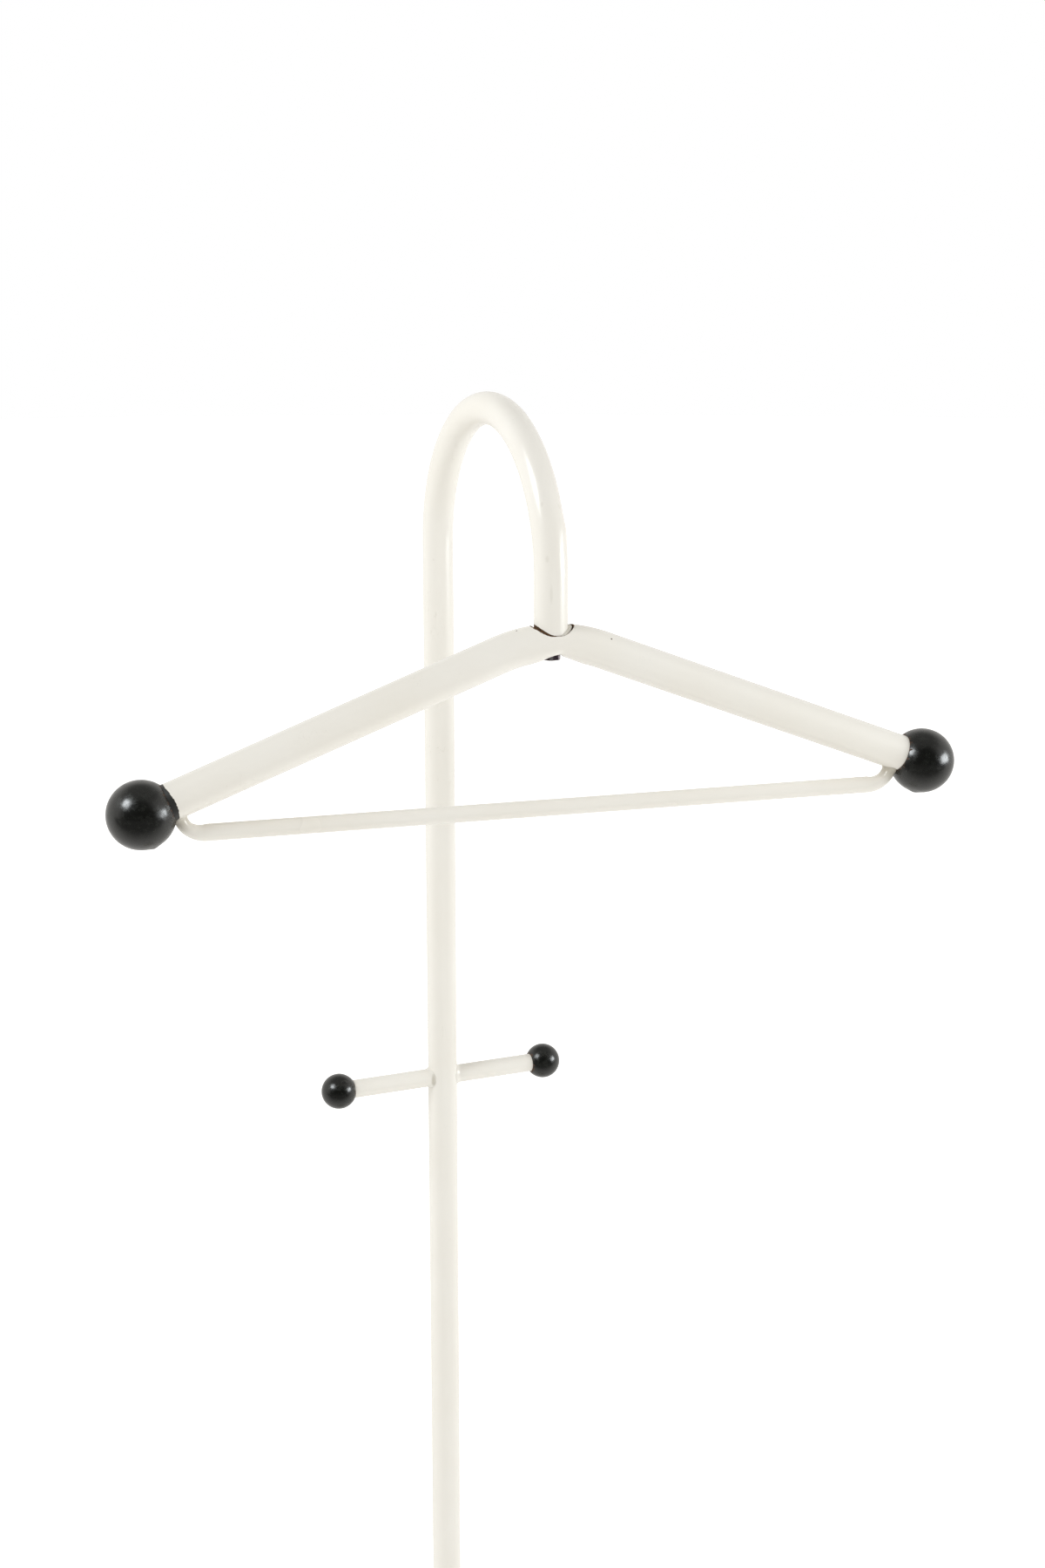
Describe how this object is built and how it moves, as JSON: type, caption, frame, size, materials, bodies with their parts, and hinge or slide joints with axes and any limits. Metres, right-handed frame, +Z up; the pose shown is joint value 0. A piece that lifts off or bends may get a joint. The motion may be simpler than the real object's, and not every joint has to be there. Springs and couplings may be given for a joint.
{
  "type": "valet stand",
  "caption": "Free-standing valet stand: a bent tube column hooks over to carry a swivelling coat hanger with a trouser bar, ball ends, a short cross peg and a round foot.",
  "frame": {"origin": "centre of the foot pad's underside, on the column's axis", "axes": "+Z up along the column, +X along the cross peg, and the hook with its hanger on the -Y side"},
  "size_m": [0.4676, 0.3683, 1.125],
  "materials": {
    "enamel": "warm off-white gloss stove enamel, worn and chipped",
    "black_lacquer": "satin black lacquer on turned wood, chipped at the rim",
    "dark_steel": "blackened, browned bolt steel",
    "bright_steel": "plain turned steel",
    "nylon": "natural nylon",
    "felt": "dark grey pressed felt"
  },
  "bodies": {
    "stand": {"column_tube": "enamel", "hook_plug": "bright_steel", "pivot_bolt": "dark_steel", "pivot_washer": "bright_steel", "peg_rod": "enamel", "peg_ball_left": "black_lacquer", "peg_ball_right": "black_lacquer", "base_plate": "enamel", "foot_collar": "enamel", "foot_plug": "bright_steel", "foot_screw": "bright_steel", "foot_pad": "felt"},
    "hanger": {"hanger_tube": "enamel", "hanger_boss": "bright_steel", "hanger_glide": "nylon", "trouser_bar": "enamel", "shoulder_ball_left": "black_lacquer", "shoulder_ball_right": "black_lacquer"}
  },
  "joints": [
    {"name": "hanger_swivel", "type": "hinge", "parent": "stand", "child": "hanger", "pos_m": [0, -0.165, 1], "axis": [0, 0, 1], "range_deg": [-75.3, 88.7]}
  ]
}
